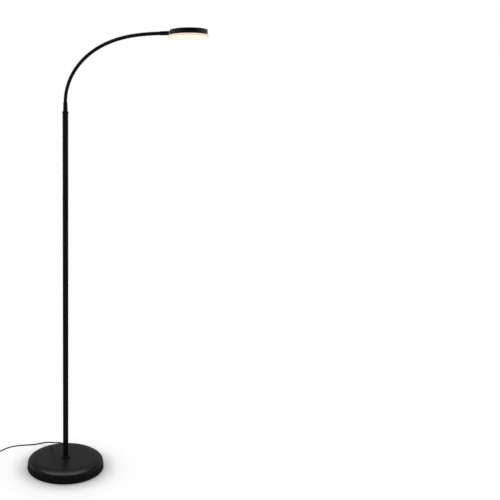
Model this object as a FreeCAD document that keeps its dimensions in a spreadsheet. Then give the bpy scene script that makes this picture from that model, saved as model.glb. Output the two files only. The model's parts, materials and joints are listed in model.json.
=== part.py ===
"""Gooseneck reading floor lamp, in millimetres, +Z up.

The origin is on the axis of the pole, at the underside of the base.  The neck arches
towards +X and carries a flat round LED head.  The mains cord leaves the pole low down at
the back left and lies on the floor with its in-line switch, its coil and its plug.
"""
import FreeCAD, Part
import math
import os
import Sketcher
from FreeCAD import Placement, Rotation, Vector

doc = FreeCAD.newDocument("GooseneckLamp")

# ---------------------------------------------------------------- driving dimensions
DIMENSIONS = {
    # named clearances
    "static_gap": 0.05,          # radial play of a turned piece inside a fixed one
    "running_gap": 0.08,         # radial play of a pin or shank that turns
    "face_gap": 0.25,            # between faces that turn past each other
    # base
    "base_diameter": 230.0,
    "base_height": 30.3,
    "base_taper": 2.0,
    "shoulder_width": 33.0,      # the top bends over to the side in a quarter of an ellipse
    "shoulder_drop": 12.0,
    "cover_wall": 1.2,
    "rim_lift": 0.8,
    "pad_thickness": 2.0,
    "pad_margin": 4.0,
    "ballast_margin": 3.5,
    "ballast_height": 14.0,
    "hub_radius": 30.0,
    "nut_recess_radius": 18.0,
    "nut_height": 6.0,
    "nut_flats": 17.0,
    "washer_radius": 14.0,
    "washer_thickness": 2.0,
    "stud_radius": 5.0,
    "stud_grip": 22.0,
    "collar_radius": 14.0,
    "collar_top_radius": 12.9,
    "collar_height": 4.8,
    "collar_bevel": 2.2,
    "collar_floor": 2.5,
    # pole
    "pole_radius": 8.0,
    "pole_wall": 0.9,
    "pole_section": 354.2,
    "pole_top": 1038.0,
    "seam_ring": 0.8,
    "seam_depth": 0.25,
    "insert_length": 24.0,
    "coupler_bore": 3.5,
    "cap_radius": 8.85,
    "cap_skirt": 3.4,
    "cap_web": 1.2,
    # neck
    "socket_height": 25.0,
    "socket_radius": 6.3,
    "socket_top_radius": 5.7,
    "socket_shank": 4.6,
    "neck_length": 344.0,
    "neck_curl": 1.64,
    "neck_tail": 15.0,
    "rib_radius": 4.9,
    "groove_radius": 4.35,
    "ball_radius": 3.75,
    "ball_gap": 0.15,
    "link_gap": 0.75,
    "neck_bore": 2.5,
    "lead_radius": 1.7,
    # head
    "arm_tilt": 3.0,             # rise of the neck's end and of the arm
    "head_tilt": 0.5,            # rise of the housing along the arm
    "head_turn": 3.0,            # turn of the housing about the arm
    "sleeve_length": 23.4,
    "sleeve_radius": 5.5,
    "shank_radius": 3.0,
    "disc_washer": 0.8,
    "axis_height": 6.2,
    "housing_radius": 50.4,
    "housing_height": 13.8,
    "housing_wall": 1.2,
    "housing_roof": 1.4,
    "housing_edge": 1.0,
    "boss_depth": 3.0,
    "boss_proud": 0.5,
    "lock_nut_radius": 4.6,
    "lock_nut_length": 3.6,
    "diffuser_radius": 54.5,
    "diffuser_thickness": 4.4,
    "diffuser_edge": 1.4,
    "lens_step": 0.6,
    "spigot_height": 3.0,
    "spigot_wall": 1.0,
    "lens_radius": 22.0,
    "lens_thickness": 2.4,
    "sink_radius": 34.0,
    "sink_thickness": 1.5,
    "board_radius": 23.0,
    "board_thickness": 1.4,
    "screw_circle": 13.0,
    "board_screw": 1.3,
    "screw_head": 1.2,
    "chip_ring": 18.6,
    "inner_chip_ring": 7.0,
    "chip_length": 3.5,
    "chip_width": 2.8,
    "chip_height": 0.8,
    "tray_wall": 0.8,
    "tray_lip": 2.0,
    "tray_radius": 38.0,
    # cord, switch and plug
    "cord_radius": 2.0,
    "gland_height": 67.0,
    "gland_radius": 4.8,
    "gland_length": 8.6,
    "gland_neck": 3.4,
    "switch_length": 62.0,
    "switch_width": 26.0,
    "switch_split": 7.5,
    "switch_height": 15.0,
    "switch_wall": 1.8,
    "cord_lift": 6.0,
    "rocker_length": 21.0,
    "rocker_width": 12.0,
    "rocker_pin": 1.25,
    "coil_radius": 24.0,
    "coil_gap": 0.5,
    "plug_length": 36.0,
    "plug_width": 35.0,
    "plug_thickness": 13.7,
    "pin_radius": 2.0,
    "pin_length": 19.0,
    "pin_spacing": 18.6,
}

sheet = doc.addObject("Spreadsheet::Sheet", "Sizes")
for row, (alias, number) in enumerate(DIMENSIONS.items(), start=1):
    sheet.set("A%d" % row, alias)
    sheet.set("B%d" % row, str(number))
    sheet.setAlias("B%d" % row, alias)
doc.recompute()


class Size:
    """A length that knows its number and the sheet expression that it comes from."""

    def __init__(self, number, text):
        self.number = number
        self.text = text

    @staticmethod
    def of(thing):
        return thing if isinstance(thing, Size) else Size(float(thing), repr(float(thing)))

    def _join(self, other, sign, number):
        return Size(number, "(%s %s %s)" % (self.text, sign, Size.of(other).text))

    def __add__(self, other):
        return self._join(other, "+", self.number + Size.of(other).number)

    def __sub__(self, other):
        return self._join(other, "-", self.number - Size.of(other).number)

    def __mul__(self, other):
        return self._join(other, "*", self.number * Size.of(other).number)

    def __truediv__(self, other):
        return self._join(other, "/", self.number / Size.of(other).number)

    def __radd__(self, other):
        return Size.of(other) + self

    def __rsub__(self, other):
        return Size.of(other) - self

    def __rmul__(self, other):
        return Size.of(other) * self

    def __neg__(self):
        return Size.of(0.0) - self

    def __float__(self):
        return self.number


class Sheet:
    """Every cell of the sheet as a Size, by its alias."""

    def __getattr__(self, alias):
        return Size(float(getattr(sheet, alias)), "Sizes." + alias)


S = Sheet()
pieces = []                       # the finished sub-parts, in the order they are made


def finish(obj, label, placement=None):
    """Gives a finished sub-part its label and its place, and keeps it for writing."""
    obj.Label = label
    if placement is not None:
        obj.Placement = placement
    pieces.append(obj)
    return obj


# ---------------------------------------------------------------- helpers: turned pieces
def body_sketch(body, name, role):
    """A sketch attached to one of the body's own origin planes."""
    sketch = body.newObject("Sketcher::SketchObject", name)
    plane = [feature for feature in body.Origin.OriginFeatures if feature.Role == role][0]
    sketch.AttachmentSupport = [(plane, "")]
    sketch.MapMode = "FlatFace"
    return sketch


def hold_point(sketch, line, along_x, along_y):
    """Holds the start of a line at two sizes measured from the sketch's origin."""
    for kind, size, axis in (("DistanceX", along_x, -2), ("DistanceY", along_y, -1)):
        if abs(size.number) < 1e-9:
            sketch.addConstraint(Sketcher.Constraint("PointOnObject", line, 1, axis))
            continue
        index = sketch.addConstraint(Sketcher.Constraint(kind, -1, 1, line, 1, size.number))
        sketch.setExpression("Constraints[%d]" % index, size.text)


def draw_outline(sketch, corners):
    """A closed outline through corners given as pairs of sizes."""
    corners = [(Size.of(a), Size.of(b)) for a, b in corners]
    count = len(corners)
    for i in range(count):
        start, end = corners[i], corners[(i + 1) % count]
        sketch.addGeometry(Part.LineSegment(Vector(float(start[0]), float(start[1]), 0),
                                            Vector(float(end[0]), float(end[1]), 0)), False)
    for i in range(count):
        sketch.addConstraint(Sketcher.Constraint("Coincident", i, 2, (i + 1) % count, 1))
    for i in range(count):
        hold_point(sketch, i, *corners[i])


def turned_body(name, corners):
    """A body turned about Z from a profile of (radius, height) corners."""
    body = doc.addObject("PartDesign::Body", name)
    sketch = body_sketch(body, name + "_profile", "XZ_Plane")
    draw_outline(sketch, corners)
    revolution = body.newObject("PartDesign::Revolution", name + "_turned")
    revolution.Profile = sketch
    revolution.ReferenceAxis = (sketch, ["V_Axis"])
    revolution.Angle = 360.0
    body.Tip = revolution
    return body


def turned(label, corners, placement=None):
    return finish(turned_body(label + "_body", corners), label, placement)


def ring(label, outer, inner, bottom, top, placement=None):
    """A plain ring or sleeve between two radii and two heights."""
    corners = [(inner, bottom), (outer, bottom), (outer, top), (inner, top)]
    return turned(label, corners, placement)


def padded_body(name, corners, bottom, height):
    """A body padded up from a flat outline, starting at a height."""
    body = doc.addObject("PartDesign::Body", name)
    sketch = body_sketch(body, name + "_outline", "XY_Plane")
    draw_outline(sketch, corners)
    sketch.setExpression("AttachmentOffset.Base.z", Size.of(bottom).text)
    pad = body.newObject("PartDesign::Pad", name + "_pad")
    pad.Profile = sketch
    pad.setExpression("Length", Size.of(height).text)
    body.Tip = pad
    return body


def hexagon(flats):
    """Corners of a hexagon of that size across flats."""
    corner = flats / math.sqrt(3.0)
    return [(corner * math.cos(math.radians(60 * i)), corner * math.sin(math.radians(60 * i)))
            for i in range(6)]


def rectangle(length, width):
    return [(-length / 2, -width / 2), (length / 2, -width / 2),
            (length / 2, width / 2), (-length / 2, width / 2)]


def cylinder(name, radius, height, base=(0, 0, 0), axis=Vector(0, 0, 1)):
    """A Part cylinder whose radius and height are bound to the sheet."""
    obj = doc.addObject("Part::Cylinder", name)
    obj.setExpression("Radius", Size.of(radius).text)
    obj.setExpression("Height", Size.of(height).text)
    base = [Size.of(value) for value in base]
    obj.Placement = Placement(Vector(*[float(value) for value in base]),
                              Rotation(Vector(0, 0, 1), axis))
    for letter, value in zip("xyz", base):
        obj.setExpression("Placement.Base." + letter, value.text)
    return obj


def block(name, size, centre_x, centre_y, bottom):
    """A Part box centred in X and Y that stands on a height."""
    obj = doc.addObject("Part::Box", name)
    size = [Size.of(value) for value in size]
    for prop, value in zip(("Length", "Width", "Height"), size):
        obj.setExpression(prop, value.text)
    obj.setExpression("Placement.Base.x", (centre_x - size[0] / 2).text)
    obj.setExpression("Placement.Base.y", (centre_y - size[1] / 2).text)
    obj.setExpression("Placement.Base.z", Size.of(bottom).text)
    return obj


def cut(name, base, *tools):
    """The base with each tool taken away in turn."""
    for number, tool in enumerate(tools):
        step = doc.addObject("Part::Cut", "%s_cut_%d" % (name, number))
        step.Base = base
        step.Tool = tool
        base = step
    return base


def fuse(name, *shapes):
    joined = doc.addObject("Part::MultiFuse", name + "_fused")
    joined.Shapes = list(shapes)
    return joined


def group(name, shapes):
    """Separate equal solids kept together as one compound."""
    compound = doc.addObject("Part::Compound", name + "_group")
    compound.Links = list(shapes)
    return compound


def shape_piece(label, shape, placement=None):
    """A sub-part whose shape is worked out with Part's own functions."""
    feature = doc.addObject("Part::Feature", label + "_shape")
    feature.Shape = shape
    return finish(feature, label, placement)


# ---------------------------------------------------------------- base
cover_radius = S.base_diameter / 2
cover_top_radius = cover_radius - S.base_taper
SHOULDER_STEPS = 8


def shoulder(inset):
    """Corners of the bend from the side to the top, drawn in by an inset."""
    corners = []
    for step in range(SHOULDER_STEPS + 1):
        angle = math.radians(90.0 * step / SHOULDER_STEPS)
        corners.append((cover_top_radius - inset - (S.shoulder_width - inset) * (1 - math.cos(angle)),
                        S.base_height - inset - (S.shoulder_drop - inset) * (1 - math.sin(angle))))
    return corners


stud_hole = S.stud_radius + S.static_gap
roof_under = S.base_height - S.cover_wall
turned("base_cover",
       [(stud_hole, roof_under)]
       + shoulder(S.cover_wall)[::-1]
       + [(cover_radius - S.cover_wall, S.rim_lift), (cover_radius, S.rim_lift)]
       + shoulder(0.0)
       + [(stud_hole, S.base_height)])

pad_radius = cover_radius - S.cover_wall - S.pad_margin
turned("base_pad", [(0, 0), (pad_radius, 0), (pad_radius, S.pad_thickness), (0, S.pad_thickness)])

ballast_radius = cover_top_radius - S.cover_wall - S.ballast_margin
recess_roof = S.pad_thickness + S.nut_height + S.washer_thickness
ballast_top = S.pad_thickness + S.ballast_height
turned("ballast_disc",
       [(stud_hole, recess_roof), (S.nut_recess_radius, recess_roof),
        (S.nut_recess_radius, S.pad_thickness), (ballast_radius, S.pad_thickness),
        (ballast_radius, ballast_top), (S.hub_radius, ballast_top),
        (S.hub_radius, roof_under), (stud_hole, roof_under)])

washer_bottom = S.pad_thickness + S.nut_height
ring("foot_washer", S.washer_radius, stud_hole, washer_bottom, recess_roof)

nut_body = padded_body("foot_nut_blank", hexagon(S.nut_flats), S.pad_thickness, S.nut_height)
nut_bore = cylinder("foot_nut_bore", stud_hole, S.nut_height, (0, 0, S.pad_thickness))
finish(cut("foot_nut", nut_body, nut_bore), "foot_nut")

collar_top = S.base_height + S.collar_height
pole_foot = S.base_height + S.collar_floor
pole_seat = S.pole_radius + S.static_gap
turned("foot_collar",
       [(stud_hole, S.base_height), (S.collar_radius, S.base_height),
        (S.collar_radius, collar_top - S.collar_bevel),
        (S.collar_top_radius, collar_top), (pole_seat, collar_top),
        (pole_seat, pole_foot), (stud_hole, pole_foot)])

stud_bottom = S.pad_thickness
stud_rod = cylinder("foot_stud_rod", S.stud_radius, pole_foot + S.stud_grip - stud_bottom,
                    (0, 0, stud_bottom))
finish(stud_rod, "foot_stud")

# ---------------------------------------------------------------- pole
pole_bore = S.pole_radius - S.pole_wall
insert_radius = pole_bore - S.static_gap
ring("foot_insert", insert_radius, stud_hole, pole_foot, pole_foot + S.insert_length)

seam_lower = pole_foot + S.pole_section
seam_upper = seam_lower + S.pole_section
half_ring = S.seam_ring / 2

gland_turn = 135.0                # the cord leaves at the back left of the pole
gland_axis = Vector(math.cos(math.radians(gland_turn)), math.sin(math.radians(gland_turn)), 0)
lower_tube = turned_body("pole_lower_tube",
                         [(pole_bore, pole_foot), (S.pole_radius, pole_foot),
                          (S.pole_radius, seam_lower - half_ring),
                          (pole_bore, seam_lower - half_ring)])
gland_hole = cylinder("gland_hole", S.gland_neck + S.static_gap, S.pole_radius * 2,
                      (0, 0, S.gland_height), gland_axis)
finish(cut("pole_lower", lower_tube, gland_hole), "pole_lower")
ring("pole_middle", S.pole_radius, pole_bore, seam_lower + half_ring, seam_upper - half_ring)
ring("pole_upper", S.pole_radius, pole_bore, seam_upper + half_ring, S.pole_top)


def coupler(label, seam):
    """A sleeve screwed into both tubes, with a thin ring that shows as a fine seam."""
    shown = S.pole_radius - S.seam_depth
    turned(label,
           [(S.coupler_bore, seam - S.insert_length), (insert_radius, seam - S.insert_length),
            (insert_radius, seam - half_ring), (shown, seam - half_ring),
            (shown, seam + half_ring), (insert_radius, seam + half_ring),
            (insert_radius, seam + S.insert_length), (S.coupler_bore, seam + S.insert_length)])


coupler("coupler_lower", seam_lower)
coupler("coupler_upper", seam_upper)

shank_hole = S.socket_shank + S.static_gap
ring("neck_insert", insert_radius, shank_hole, S.pole_top - S.insert_length, S.pole_top)

cap_inner = S.pole_radius + S.static_gap
cap_bottom = S.pole_top - S.cap_skirt
cap_top = S.pole_top + S.cap_web
turned("pole_cap",
       [(cap_inner, cap_bottom), (S.cap_radius, cap_bottom),
        (S.cap_radius, cap_top - 0.5), (S.cap_radius - 0.5, cap_top), (shank_hole, cap_top),
        (shank_hole, S.pole_top), (cap_inner, S.pole_top)])

socket_top = cap_top + S.socket_height
tail_bottom = socket_top - S.neck_tail
tail_hole = S.rib_radius + S.static_gap
socket_bottom = S.pole_top - S.insert_length + 4.0
turned("neck_socket",
       [(S.neck_bore, socket_bottom), (S.socket_shank, socket_bottom),
        (S.socket_shank, cap_top), (S.socket_radius, cap_top),
        (S.socket_top_radius, socket_top - 0.6), (S.socket_top_radius - 0.5, socket_top),
        (tail_hole, socket_top), (tail_hole, tail_bottom), (S.neck_bore, tail_bottom)])

# ---------------------------------------------------------------- neck
LINKS = 12                        # whole links: the neck bends at the 12 places between them
RIBS = 10                         # rib pitches in one whole link, the last one a joint
CURVE_STEPS = 40                  # steps in which a heading is summed along one link

neck_length = float(S.neck_length)
link_length = neck_length / LINKS
rib_pitch = link_length / RIBS
tilt = float(S.arm_tilt)


def heading(along):
    """Angle of the neck above the horizontal at a distance along it."""
    rest = 1.0 - min(along / neck_length, 1.0)
    return math.radians(tilt + (90.0 - tilt) * rest ** float(S.neck_curl))


def neck_point(along):
    """Point on the neck's centre line, summed from its headings."""
    steps = max(1, round(CURVE_STEPS * along / link_length))
    x, z = 0.0, float(socket_top)
    for step in range(steps):
        middle = heading(along * (step + 0.5) / steps)
        x += math.cos(middle) * along / steps
        z += math.sin(middle) * along / steps
    return Vector(x, 0, z)


def neck_axis(along):
    angle = heading(along)
    return Vector(math.cos(angle), 0, math.sin(angle))


def ring_wire(centre, axis, radius):
    """A circle square to an axis, its seam always on the Y side."""
    circle = Part.Circle(centre, axis, radius)
    circle.XAxis = Vector(0, 1, 0)
    return Part.Wire(circle.toShape())


def ribbed(start, end, ribs_from, ribs):
    """A ribbed solid along the neck, lofted through rings, with four rings to each rib."""
    groove, crest = float(S.groove_radius), float(S.rib_radius)
    rings = [(start, groove)]
    for rib in range(ribs):
        foot = ribs_from + rib * rib_pitch
        rings += [(foot + 0.12 * rib_pitch, groove), (foot + 0.32 * rib_pitch, crest),
                  (foot + 0.68 * rib_pitch, crest), (foot + 0.88 * rib_pitch, groove)]
    rings.append((end, groove))
    wires = [ring_wire(neck_point(at), neck_axis(at), radius) for at, radius in rings]
    return Part.makeLoft(wires, True, True)


def bore(start, end, steps):
    """The hole for the lead, along the same centre line."""
    wires = []
    for step in range(steps + 1):
        at = start + (end - start) * step / steps
        wires.append(ring_wire(neck_point(at), neck_axis(at), float(S.neck_bore)))
    return Part.makeLoft(wires, True, True)


joint_stations = [link_length * (number + 0.5) for number in range(LINKS)]
ball = float(S.ball_radius)
socket = ball + float(S.ball_gap)
gap = float(S.link_gap)


def link_shape(number):
    """One link: a socket at its start, ribs along it and a ball at its end."""
    first, last = number == 0, number == LINKS
    start = 0.0 if first else joint_stations[number - 1] + gap
    end = neck_length if last else joint_stations[number] - gap
    ribs = RIBS // 2 - 1 if (first or last) else RIBS - 1
    ribs_from = (0.0 if first else joint_stations[number - 1]) + 0.5 * rib_pitch
    solid = ribbed(start, end, ribs_from, ribs)
    bore_start, bore_end = start, end
    if first:
        tail = Part.makeCylinder(float(S.rib_radius), float(S.neck_tail),
                                 Vector(0, 0, float(tail_bottom)))
        solid = solid.fuse(tail)
    if last:
        tail = Part.makeCylinder(float(S.rib_radius), float(S.neck_tail), neck_point(neck_length),
                                 neck_axis(neck_length))
        solid = solid.fuse(tail)
    if not last:
        at = joint_stations[number]
        solid = solid.fuse(Part.makeSphere(ball, neck_point(at)))
        bore_end = at + ball + 1.0
    if not first:
        at = joint_stations[number - 1]
        solid = solid.cut(Part.makeSphere(socket, neck_point(at)))
        bore_start = at
    solid = solid.cut(bore(bore_start, bore_end, 8))
    for is_end, at, axis in ((first, neck_point(0.0), Vector(0, 0, -1)),
                             (last, neck_point(neck_length), neck_axis(neck_length))):
        if is_end:
            base = at - axis * 1.0
            hole = Part.makeCylinder(float(S.neck_bore), float(S.neck_tail) + 2.0, base, axis)
            solid = solid.cut(hole)
    return solid


for number in range(LINKS + 1):
    shape_piece("neck_link_%02d" % number, link_shape(number))

print("neck joints, mm:")
for number, at in enumerate(joint_stations, start=1):
    spot, axis = neck_point(at), neck_axis(at)
    print("  joint %02d at %.4f %.4f, heading %.4f" % (number, spot.x, spot.z,
                                                      math.degrees(math.atan2(axis.z, axis.x))))

# ---------------------------------------------------------------- head
neck_end = neck_point(neck_length)
arm_axis = neck_axis(neck_length)
wall_face = float(S.housing_radius + S.boss_proud)
arm_reach = float(S.sleeve_length + S.disc_washer + S.face_gap)
head_turned = Rotation(Vector(0, 1, 0), -float(S.head_tilt)).multiply(
    Rotation(Vector(1, 0, 0), float(S.head_turn)))
boss_face = Vector(-wall_face, 0, float(S.axis_height))
head_centre = neck_end + arm_axis * arm_reach - head_turned.multVec(boss_face)
head_place = Placement(head_centre, head_turned)
boss_axis = head_turned.inverted().multVec(arm_axis)       # the arm's direction seen from the head
arm_place = Placement(neck_end, Rotation(Vector(0, 0, 1), arm_axis))
print("neck end", neck_end, "head centre", head_centre)

washer_hole = S.shank_radius + S.static_gap
outer_washer_end = S.sleeve_length + S.disc_washer
inner_washer_start = outer_washer_end + S.boss_depth + S.face_gap * 2
nut_start = inner_washer_start + S.disc_washer
shank_end = nut_start + S.lock_nut_length


def washer_body(name, outer, bottom):
    return turned_body(name, [(washer_hole, bottom), (outer, bottom),
                              (outer, bottom + S.disc_washer), (washer_hole, bottom + S.disc_washer)])


swivel_washers = [washer_body("washer_outside", S.sleeve_radius - 0.3, S.sleeve_length),
                  washer_body("washer_inside", S.lock_nut_radius, inner_washer_start)]
finish(group("swivel_washers", swivel_washers), "swivel_washers", arm_place)
lead_hole = S.lead_radius + S.static_gap * 4
turned("head_sleeve",
       [(tail_hole, 0), (S.sleeve_radius, 0), (S.sleeve_radius, S.sleeve_length),
        (S.shank_radius, S.sleeve_length), (S.shank_radius, shank_end), (lead_hole, shank_end),
        (lead_hole, S.neck_tail), (tail_hole, S.neck_tail)], arm_place)
lock_blank = turned_body("neck_nut_blank",
                         [(washer_hole, nut_start), (S.lock_nut_radius, nut_start),
                          (S.lock_nut_radius, nut_start + S.lock_nut_length),
                          (washer_hole, nut_start + S.lock_nut_length)])
slots = [block("neck_nut_slot_%d" % number, (1.2, S.lock_nut_radius * 0.5, S.lock_nut_length),
               Size.of(0), S.lock_nut_radius * side, nut_start + S.lock_nut_length * 0.5)
         for number, side in enumerate((-1.0, 1.0))]
finish(cut("neck_nut", lock_blank, *slots), "neck_nut", arm_place)

inner_wall = S.housing_radius - S.housing_wall
inner_roof = S.housing_height - S.housing_roof
cup = turned_body("housing_cup",
                  [(0, inner_roof), (inner_wall, inner_roof), (inner_wall, 0),
                   (S.housing_radius, 0), (S.housing_radius, S.housing_height - S.housing_edge),
                   (S.housing_radius - S.housing_edge * 0.3, S.housing_height - S.housing_edge * 0.3),
                   (S.housing_radius - S.housing_edge, S.housing_height), (0, S.housing_height)])
boss = cylinder("housing_boss", S.sleeve_radius - 0.1, S.boss_depth,
                (-(S.housing_radius + S.boss_proud), 0, S.axis_height), boss_axis)
arm_hole = cylinder("housing_arm_hole", S.shank_radius + S.running_gap, S.boss_depth * 3,
                    (-(S.housing_radius + S.boss_proud) - S.boss_depth * boss_axis.x,
                     -S.boss_depth * boss_axis.y, S.axis_height - S.boss_depth * boss_axis.z),
                    boss_axis)
finish(cut("head_housing", fuse("head_housing", cup, boss), arm_hole), "head_housing", head_place)

sink_bottom = inner_roof - S.sink_thickness
ring("heat_spreader", S.sink_radius, 1.5, sink_bottom, inner_roof, head_place)

board_bottom = sink_bottom - S.board_thickness
SCREWS = 3
board_blank = turned_body("led_board_blank",
                          [(0, board_bottom), (S.board_radius, board_bottom),
                           (S.board_radius, sink_bottom), (0, sink_bottom)])
screw_holes = []
screws = []
for number in range(SCREWS):
    angle = math.radians(30 + 360.0 / SCREWS * number)
    x, y = S.screw_circle * math.cos(angle), S.screw_circle * math.sin(angle)
    screw_holes.append(cylinder("board_hole_%d" % number, S.board_screw + S.static_gap,
                                S.board_thickness * 2, (x, y, board_bottom - 0.5)))
    head_disc = cylinder("board_screw_head_%d" % number, S.board_screw + 1.0, S.screw_head,
                         (x, y, board_bottom - S.screw_head))
    thread = cylinder("board_screw_thread_%d" % number, S.board_screw, S.board_thickness,
                      (x, y, board_bottom))
    screws.append(fuse("board_screw_%d" % number, head_disc, thread))
finish(cut("led_board", board_blank, *screw_holes), "led_board", head_place)
finish(group("board_screws", screws), "board_screws", head_place)

CHIPS_OUTSIDE = 12
CHIPS_INSIDE = 6
chips = []
for count, radius in ((CHIPS_OUTSIDE, float(S.chip_ring)), (CHIPS_INSIDE, float(S.inner_chip_ring))):
    for number in range(count):
        angle = 360.0 / count * number
        chip = Part.makeBox(float(S.chip_length), float(S.chip_width), float(S.chip_height),
                            Vector(-float(S.chip_length) / 2, -float(S.chip_width) / 2, 0))
        chip.translate(Vector(radius, 0, float(board_bottom) - float(S.chip_height)))
        chip.rotate(Vector(0, 0, 0), Vector(0, 0, 1), angle)
        chips.append(chip)
shape_piece("led_chips", Part.makeCompound(chips), head_place)

spigot_outer = inner_wall - S.static_gap * 2
spigot_inner = spigot_outer - S.spigot_wall
tray_outer = spigot_inner - S.static_gap * 2
turned("reflector_tray",
       [(S.board_radius - S.tray_lip, board_bottom - S.tray_wall), (S.board_radius, board_bottom
         - S.tray_wall), (S.tray_radius, 0), (tray_outer, 0), (tray_outer, S.tray_wall),
        (S.tray_radius + 0.3, S.tray_wall), (S.board_radius + 0.3, board_bottom),
        (S.board_radius - S.tray_lip, board_bottom)], head_place)

plate = turned_body("diffuser_plate",
       [(0, 0), (0, -S.diffuser_thickness + S.lens_step),
        (S.lens_radius - 1.2, -S.diffuser_thickness + S.lens_step),
        (S.lens_radius, -S.diffuser_thickness),
        (S.diffuser_radius - S.diffuser_edge, -S.diffuser_thickness),
        (S.diffuser_radius - S.diffuser_edge * 0.3, -S.diffuser_thickness + S.diffuser_edge * 0.3),
        (S.diffuser_radius, -S.diffuser_thickness + S.diffuser_edge),
        (S.diffuser_radius, -S.diffuser_edge * 0.4), (S.diffuser_radius - S.diffuser_edge * 0.4, 0),
        (spigot_outer, 0), (spigot_outer, S.spigot_height), (spigot_inner, S.spigot_height),
        (spigot_inner, 0)][::-1])
boss_notch = block("diffuser_notch", (8.0, S.sleeve_radius * 2 + 2.0, S.spigot_height), -inner_wall,
                   Size.of(0), Size.of(0))
finish(cut("diffuser", plate, boss_notch), "diffuser", head_place)

turned("centre_lens",
       [(0, 0), (S.lens_radius, 0), (S.lens_radius, S.lens_thickness * 0.5),
        (S.lens_radius - 2.0, S.lens_thickness * 0.9), (0, S.lens_thickness)], head_place)

DRIVER_X = -34.5
driver_top = inner_roof
driver = block("driver_card", (9.0, 26.0, 1.2), Size.of(DRIVER_X) - 4.0, Size.of(0),
               driver_top - 1.2)
card_clip = cylinder("driver_card_round", S.sink_radius + 0.4, 3.0, (0, 0, driver_top - 2.0))
finish(cut("driver_board", driver, card_clip), "driver_board", head_place)
driver_parts = []
for name, size, x, y in (("choke", (5.0, 6.0, 2.6), -39.5, 8.6), ("chip", (4.0, 5.0, 1.6), -39.0, -8.6),
                         ("capacitor", (3.0, 4.0, 2.4), -36.8, -3.0)):
    driver_parts.append(block("driver_" + name, size, Size.of(x), Size.of(y),
                              driver_top - 1.2 - size[2]))
finish(group("driver_parts", driver_parts), "driver_parts", head_place)

# ---------------------------------------------------------------- cords: paths of runs and arcs
ARC_SHARE = 0.45                  # part of the shorter run that an arc takes


def rounded_path(points, name):
    """Straight runs joined by tangent arcs; prints the arcs' radii."""
    edges = []
    radii = []
    here = points[0]
    for before, corner, after in zip(points, points[1:], points[2:]):
        arriving = (corner - before)
        leaving = (after - corner)
        shorter = min(arriving.Length, leaving.Length)
        turn = arriving.getAngle(leaving)
        reach_back = ARC_SHARE * shorter
        radii.append(reach_back / math.tan(turn / 2))
        arriving.normalize()
        leaving.normalize()
        start = corner - arriving * reach_back
        end = corner + leaving * reach_back
        inward = (leaving - arriving)
        inward.normalize()
        middle = corner + inward * (radii[-1] / math.cos(turn / 2) - radii[-1])
        edges.append(Part.LineSegment(here, start).toShape())
        edges.append(Part.Arc(start, middle, end).toShape())
        here = end
    edges.append(Part.LineSegment(here, points[-1]).toShape())
    print(name, "arc radii:", " ".join("%.0f" % radius for radius in radii))
    return Part.Wire(edges)


def tube(path, radius, name):
    """A round tube along a path, and its volume against section times length."""
    start = path.Edges[0]
    profile = Part.Wire(Part.Circle(start.valueAt(start.FirstParameter),
                                    start.tangentAt(start.FirstParameter), radius).toShape())
    solid = path.makePipeShell([profile], True, False)
    expected = math.pi * radius ** 2 * path.Length
    print("%s: length %.1f, volume over section times length %.4f"
          % (name, path.Length, solid.Volume / expected))
    return solid


def route(points):
    """Route points written as plain numbers, as vectors."""
    return [Vector(*point) for point in points]


cord = float(S.cord_radius)
gland_z = float(S.gland_height)
gland_out = float(S.pole_radius) + float(S.gland_length)
gland_face = Vector(0, 0, gland_z) + gland_axis * gland_out

# grommet with a tapered nose, a groove that the tube's wall sits in and a lip behind it
gland_place = Placement(Vector(0, 0, gland_z), Rotation(Vector(0, 0, 1), gland_axis))
gland_bore = S.cord_radius + S.static_gap
turned("cord_gland",
       [(gland_bore, pole_bore - 0.9), (S.gland_neck, pole_bore - 0.9),
        (S.gland_neck, S.pole_radius + 0.7), (S.gland_radius, S.pole_radius + 0.7),
        (S.gland_radius, S.pole_radius + 2.6),
        (S.cord_radius + 0.9, S.pole_radius + S.gland_length),
        (gland_bore, S.pole_radius + S.gland_length)], gland_place)

LEAD_SPLICE = 128.0               # height at which the mains cord ends inside the pole
tail_route = [gland_face, gland_axis + Vector(0, 0, gland_z), Vector(0, 0, gland_z + 9.0),
              Vector(0, 0, LEAD_SPLICE)]
shape_piece("cord_tail", tube(rounded_path(tail_route, "cord tail"), cord, "cord_tail"))

splice_length = 14.0
ring("wire_splice", 3.4, S.lead_radius + S.static_gap, LEAD_SPLICE, LEAD_SPLICE + splice_length)
lead_bottom = LEAD_SPLICE + 2.0
lead_top = tail_bottom - 2.0
finish(cylinder("pole_lead_wire", S.lead_radius, lead_top - lead_bottom, (0, 0, lead_bottom)),
       "pole_lead")

# the lead in the neck follows the same centre line to the end of the threaded shank
lead_wires = [ring_wire(Vector(0, 0, float(lead_top)), Vector(0, 0, 1), float(S.lead_radius))]
LEAD_RINGS = 48
for step in range(LEAD_RINGS + 1):
    at = neck_length * step / LEAD_RINGS
    lead_wires.append(ring_wire(neck_point(at), neck_axis(at), float(S.lead_radius)))
lead_wires.append(ring_wire(neck_end + arm_axis * float(shank_end), arm_axis, float(S.lead_radius)))
shape_piece("neck_lead", Part.makeLoft(lead_wires, True, True))

head_lead_path = [Vector(-(wall_face - float(S.boss_depth) - 6.2), 0, float(S.axis_height)),
                  Vector(-38.0, 0, float(S.axis_height) + 0.4), Vector(-35.4, 1.8, 8.0),
                  Vector(-34.6, 4.4, 9.4)]
shape_piece("head_lead", tube(rounded_path(head_lead_path, "head lead"), 0.9, "head_lead"), head_place)

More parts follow.
